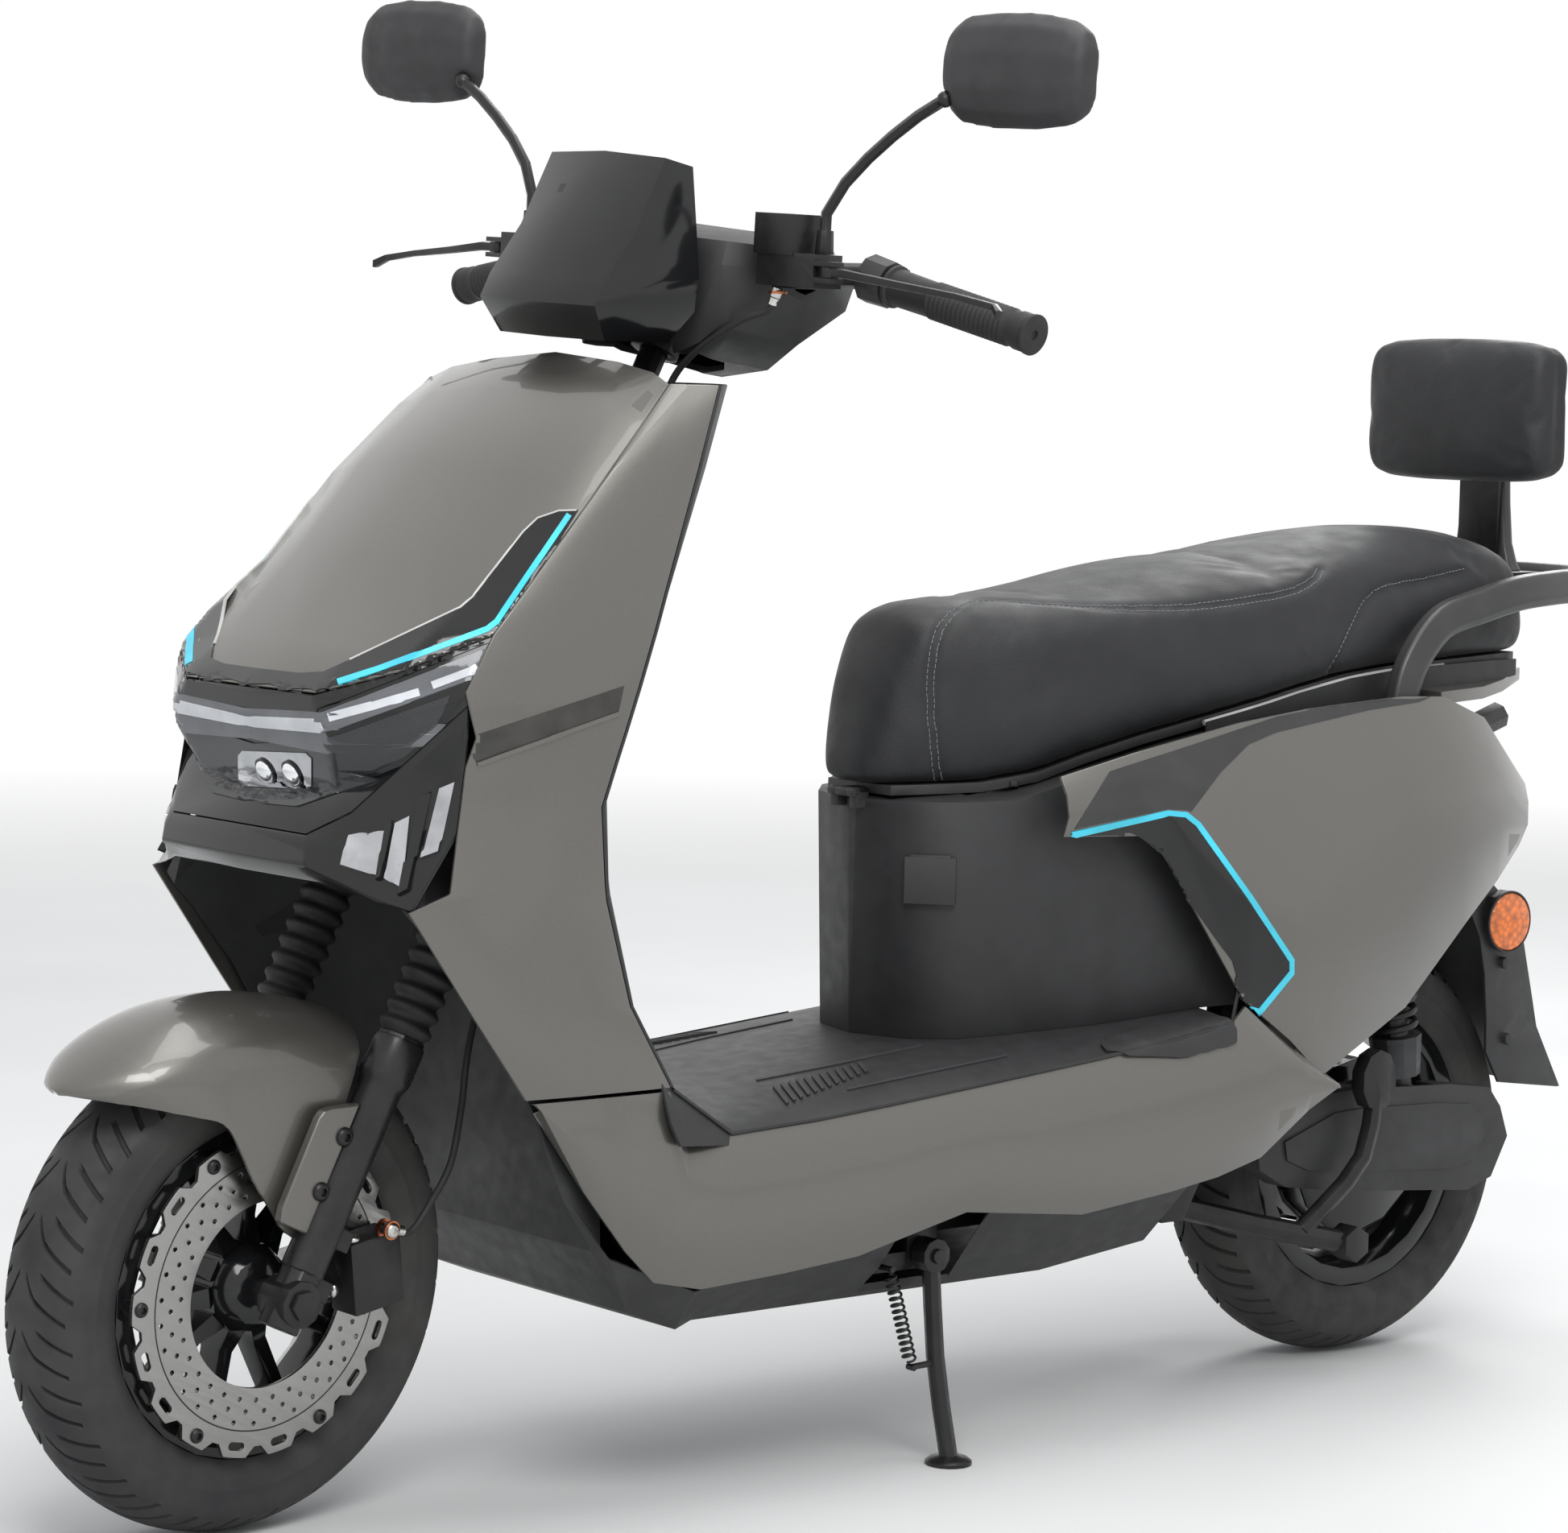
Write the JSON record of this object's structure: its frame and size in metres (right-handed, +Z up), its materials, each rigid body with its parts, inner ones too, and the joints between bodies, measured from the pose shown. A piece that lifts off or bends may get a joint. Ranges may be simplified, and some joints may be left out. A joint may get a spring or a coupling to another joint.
{
  "type": "seated electric scooter",
  "caption": "Seated electric scooter: step-through floor, fairing with lamp band, telescopic fork with disc brake, hub motor on a swinging arm, backrest and two stands.",
  "frame": {"origin": "centre of the bounding box at ground level, midway between the tyre's front and the grab rail's rear end", "axes": "+X forward, +Y the rider's left, +Z up"},
  "size_m": [1.7771, 0.8917, 1.2881],
  "materials": {
    "grey_paint": "metallic warm grey, gloss",
    "gloss_black": "gloss black",
    "matte_black": "fine-grained matte black",
    "black_steel": "satin black enamel",
    "cast_grey": "painted casting",
    "disc_steel": "turned and drilled",
    "bright_metal": "polished",
    "rubber": "moulded",
    "tyre": "treaded road tyre",
    "leather": "grained vinyl with light double stitching",
    "lens_clear": "clear moulded lens",
    "lens_red": "red lens",
    "red_plastic": "red button",
    "mirror_shell": "black shell with a silvered face"
  },
  "bodies": {
    "chassis": {"main_frame": "black_steel", "battery_pack": "matte_black", "motor_controller": "cast_grey", "seat_box": "matte_black", "floor_deck": "rubber", "under_tray": "matte_black", "lower_side_left": "matte_black", "lower_side_right": "matte_black", "rear_side_left": "grey_paint", "rear_side_right": "grey_paint", "shield_side_left": "grey_paint", "shield_side_right": "grey_paint", "front_panel": "grey_paint", "leg_shield": "matte_black", "headlamp": "lens_clear", "lower_cowl": "gloss_black", "tail_wing": "matte_black", "tail_lamp": "lens_red", "rear_mudguard": "matte_black", "grab_rail": "black_steel", "backrest_cushion": "leather", "side_stand_spring": "bright_metal"},
    "steering": {"steering_stem": "black_steel", "handlebar": "black_steel", "handlebar_cover": "matte_black", "face_cowl": "grey_paint", "left_grip": "rubber", "left_switch_pod": "matte_black", "right_control_pod": "matte_black", "left_master_cylinder": "gloss_black", "mirror_arm_left": "black_steel", "mirror_arm_right": "black_steel", "brake_hose": "rubber", "fork_boot_left": "rubber", "fork_boot_right": "rubber"},
    "fork": {"fork_slider_left": "cast_grey", "fork_slider_right": "cast_grey", "front_fender": "grey_paint", "brake_caliper": "cast_grey"},
    "front_wheel_set": {"front_wheel": "gloss_black", "front_tyre": "tyre", "brake_disc": "disc_steel"},
    "rear_arm": {"swingarm": "black_steel", "swingarm_cover": "cast_grey"},
    "rear_wheel_set": {"rear_wheel": "cast_grey", "rear_tyre": "tyre"},
    "shock_top": {"shock_upper": "cast_grey", "shock_spring": "black_steel"},
    "shock_sleeve": {"shock_lower": "cast_grey"},
    "throttle": {"throttle_grip": "rubber"},
    "horn": {"horn_button": "red_plastic"},
    "lever_left": {"left_lever": "cast_grey"},
    "lever_right": {"right_lever": "cast_grey"},
    "mirror_head_left": {"mirror_left": "mirror_shell"},
    "mirror_head_right": {"mirror_right": "mirror_shell"},
    "cap": {"charge_cap": "matte_black"},
    "seat": {"seat_base": "matte_black", "seat_cushion": "leather"},
    "stand_side": {"side_stand": "black_steel"},
    "stand_centre": {"centre_stand": "black_steel"}
  },
  "joints": [
    {"name": "steering_turn", "type": "hinge", "parent": "chassis", "child": "steering", "pos_m": [0.75555, 0, 0], "axis": [-0.454, 0, 0.891], "range_deg": [-44.4, 31.6]},
    {"name": "fork_travel", "type": "slide", "parent": "steering", "child": "fork", "axis": [-0.454, 0, 0.891], "range_m": [0, 0.065], "stiffness_N_per_m": 15000, "springref_m": -0.045, "deforming": ["fork_boot_left", "fork_boot_right", "brake_hose"]},
    {"name": "front_wheel_spin", "type": "hinge", "parent": "fork", "child": "front_wheel_set", "pos_m": [0.68134, 0.00312, 0.20692], "axis": [-0.0993, 0.9938, -0.0506], "continuous": true},
    {"name": "rear_arm_swing", "type": "hinge", "parent": "chassis", "child": "rear_arm", "pos_m": [-0.3085, 0, 0.25], "axis": [0, 1, 0], "range_deg": [0, 9], "stiffness_Nm_per_rad": 2500, "springref_deg": -5.16},
    {"name": "rear_wheel_spin", "type": "hinge", "parent": "rear_arm", "child": "rear_wheel_set", "pos_m": [-0.6085, 0, 0.207], "axis": [0, 1, 0], "continuous": true},
    {"name": "shock_tilt", "type": "hinge", "parent": "chassis", "child": "shock_top", "pos_m": [-0.5685, 0.092, 0.52], "axis": [0, 1, 0], "range_deg": [-0.5, 0.5]},
    {"name": "shock_slide", "type": "slide", "parent": "shock_top", "child": "shock_sleeve", "axis": [0.136, 0, 0.9907], "range_m": [0, 0.0465], "deforming": ["shock_spring"]},
    {"name": "throttle_twist", "type": "hinge", "parent": "steering", "child": "throttle", "pos_m": [0.1954, -0.17128, 1.05561], "axis": [0.0504, -0.988, -0.146], "range_deg": [0, 70], "stiffness_Nm_per_rad": 0.35, "springref_deg": -17.19},
    {"name": "horn_press", "type": "slide", "parent": "steering", "child": "horn", "axis": [0.9951, 0.0993, -0.0025], "range_m": [0, 0.003], "stiffness_N_per_m": 600, "springref_m": -0.002},
    {"name": "left_lever_pull", "type": "hinge", "parent": "steering", "child": "lever_left", "pos_m": [0.24064, 0.21077, 1.03937], "axis": [-0.0025, 0.0506, 0.9987], "range_deg": [0, 13], "stiffness_Nm_per_rad": 3, "springref_deg": -11.46},
    {"name": "right_lever_pull", "type": "hinge", "parent": "steering", "child": "lever_right", "pos_m": [0.28196, -0.20264, 1.06042], "axis": [0.0025, -0.0506, -0.9987], "range_deg": [0, 13], "stiffness_Nm_per_rad": 3, "springref_deg": -11.46},
    {"name": "left_mirror_turn", "type": "hinge", "parent": "steering", "child": "mirror_head_left", "pos_m": [0.20327, 0.30681, 1.1806], "axis": [-0.0025, 0.0506, 0.9987], "range_deg": [-12, 12]},
    {"name": "right_mirror_turn", "type": "hinge", "parent": "steering", "child": "mirror_head_right", "pos_m": [0.26286, -0.28946, 1.21096], "axis": [-0.0025, 0.0506, 0.9987], "range_deg": [-12, 12]},
    {"name": "cap_open", "type": "hinge", "parent": "chassis", "child": "cap", "pos_m": [-0.00087, 0.07938, 0.528], "axis": [0.6866, -0.727, 0], "range_deg": [0, 100]},
    {"name": "seat_lift", "type": "hinge", "parent": "chassis", "child": "seat", "pos_m": [0.0355, 0, 0.582], "axis": [0, 1, 0], "range_deg": [0, 64]},
    {"name": "side_stand_fold", "type": "hinge", "parent": "chassis", "child": "stand_side", "pos_m": [0.0485, 0.15, 0.186], "axis": [0, 1, 0], "range_deg": [0, 70], "deforming": ["side_stand_spring"]},
    {"name": "centre_stand_fold", "type": "hinge", "parent": "chassis", "child": "stand_centre", "pos_m": [-0.2885, 0, 0.187], "axis": [0, -1, 0], "range_deg": [0, 65], "stiffness_Nm_per_rad": 8, "springref_deg": -51.57}
  ],
  "couplings": [
    {"joint": "shock_tilt", "follows": "rear_arm_swing", "ratio": 0.0089},
    {"joint": "shock_slide", "follows": "rear_arm_swing", "m_per_rad": 0.2951}
  ]
}
